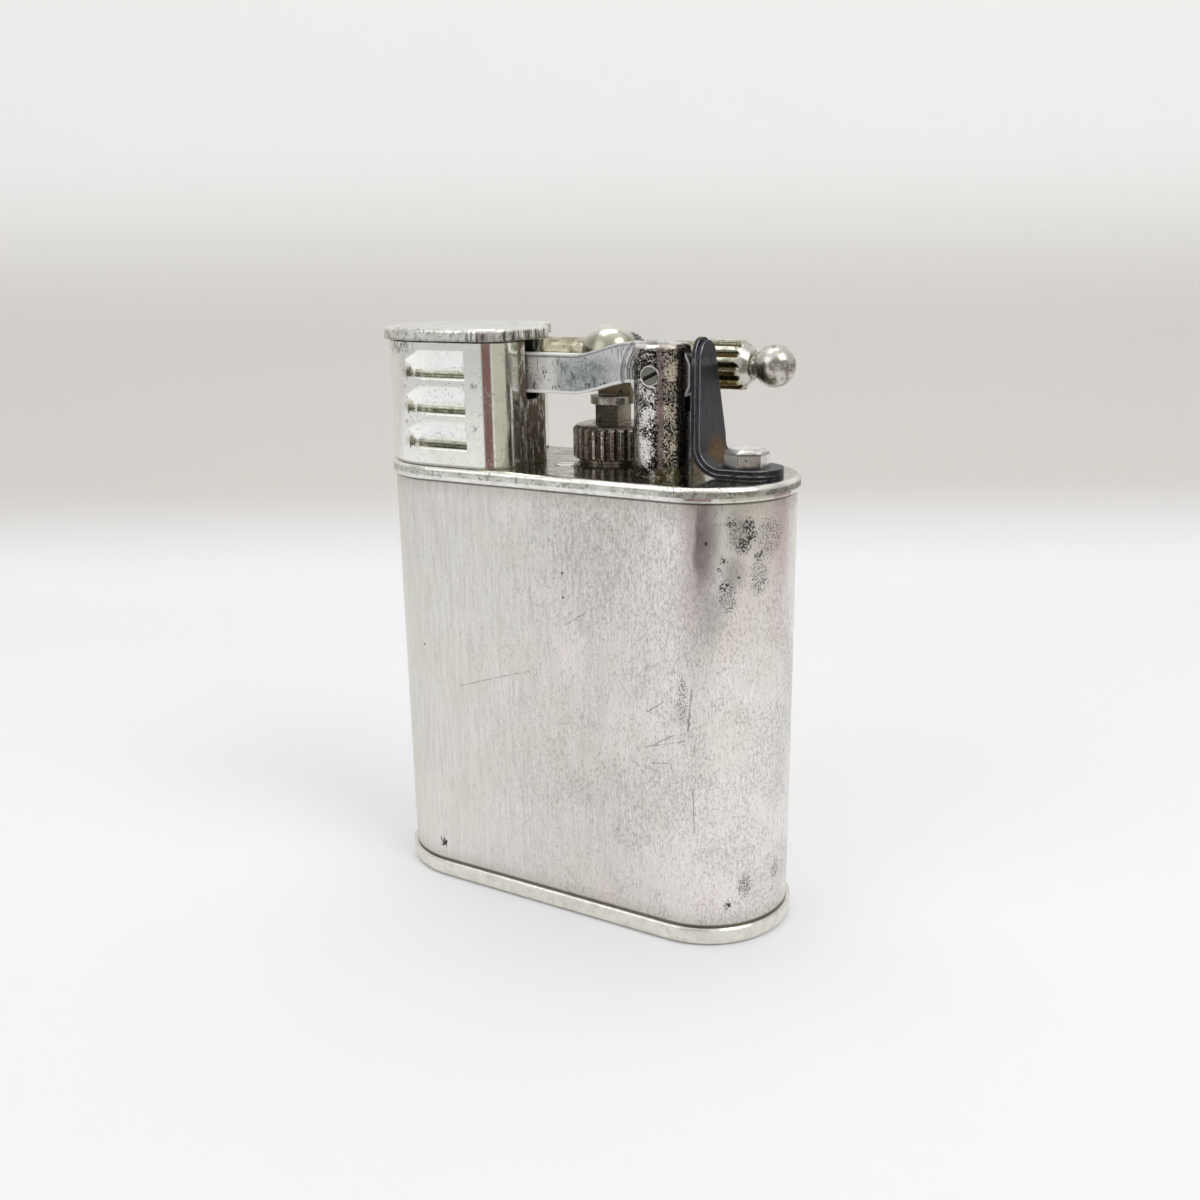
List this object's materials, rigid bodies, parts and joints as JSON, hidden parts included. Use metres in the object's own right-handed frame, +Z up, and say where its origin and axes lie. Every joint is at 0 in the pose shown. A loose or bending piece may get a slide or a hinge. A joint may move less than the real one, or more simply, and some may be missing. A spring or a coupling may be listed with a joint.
{
  "type": "petrol lighter",
  "caption": "Silver-plated petrol pocket lighter with a lift arm, louvred windguard, leaf spring, striker wheel and ball-ended flint screw.",
  "frame": {"origin": "bottom centre of the base", "axes": "+X from the windguard to the arm's pivot, +Y to the back, +Z up"},
  "size_m": [0.041, 0.0164, 0.0539],
  "materials": {
    "satin_silver": "satin silver plate, brushed upright, worn",
    "polished_silver": "polished silver plate",
    "tarnished_silver": "silver plate dulled and tarnished",
    "pitted_silver": "silver plate with dark pits and brown tarnish",
    "worn_brass": "plated brass worn through",
    "brass": "bare brass",
    "blued_steel": "blued spring steel with rust at the bend",
    "hard_steel": "hardened steel",
    "flint": "sintered flint alloy",
    "cotton": "white cotton",
    "fibre": "pressed fibre"
  },
  "bodies": {
    "case": {"case_shell": "satin_silver", "base_plate": "polished_silver", "top_plate": "tarnished_silver", "tank_packing": "cotton", "wick": "cotton", "wick_tube": "brass", "windguard": "polished_silver", "spark_tube": "tarnished_silver", "front_column": "pitted_silver", "pivot_screw": "worn_brass", "spring_leaf_outer": "blued_steel", "spring_leaf_inner": "blued_steel", "spring_screw": "polished_silver", "plate_screw": "tarnished_silver", "rear_column": "pitted_silver", "flint_tube": "worn_brass", "flint": "flint", "wheel_standard": "pitted_silver", "collar_washer": "fibre"},
    "arm": {"lift_arm": "polished_silver", "snuffer_cap": "polished_silver", "snuffer_cup": "tarnished_silver", "snuffer_pad": "fibre"},
    "striker": {"thumb_dome": "polished_silver", "striker_wheel": "hard_steel", "wheel_axle": "hard_steel", "axle_nut": "worn_brass"},
    "collar": {"knurled_collar": "pitted_silver"},
    "flint_pack": {"flint_plunger": "brass", "flint_spring": "hard_steel"},
    "flint_screw": {"flint_screw": "worn_brass"},
    "filler_pack": {"filler_washer": "fibre"},
    "filler_screw": {"filler_screw": "worn_brass"}
  },
  "joints": [
    {"name": "arm_pivot", "type": "hinge", "parent": "case", "child": "arm", "pos_m": [0.0091, -0.0022, 0.05005], "axis": [0, 1, 0], "range_deg": [0, 90]},
    {"name": "striker_spin", "type": "hinge", "parent": "case", "child": "striker", "pos_m": [0.0014, 0.0053, 0.0512], "axis": [0, 1, 0], "continuous": true},
    {"name": "collar_turn", "type": "hinge", "parent": "case", "child": "collar", "pos_m": [0.0014, 0.0027, 0.0435], "axis": [0, 0, 1], "continuous": true},
    {"name": "flint_screw_out", "type": "slide", "parent": "case", "child": "flint_pack", "axis": [1, 0, 0], "range_m": [0, 0.0028]},
    {"name": "flint_screw_turn", "type": "hinge", "parent": "flint_pack", "child": "flint_screw", "pos_m": [0.0116, 0.0053, 0.05035], "axis": [1, 0, 0], "range_deg": [0, 1440]},
    {"name": "filler_screw_out", "type": "slide", "parent": "case", "child": "filler_pack", "axis": [0, 0, -1], "range_m": [0, 0.003]},
    {"name": "filler_screw_turn", "type": "hinge", "parent": "filler_pack", "child": "filler_screw", "pos_m": [0, 0, 0.0005], "axis": [0, 0, -1], "range_deg": [0, 1440]}
  ],
  "couplings": [
    {"joint": "flint_screw_turn", "follows": "flint_screw_out", "rad_per_m": 8976},
    {"joint": "filler_screw_turn", "follows": "filler_screw_out", "rad_per_m": 8377.6}
  ]
}
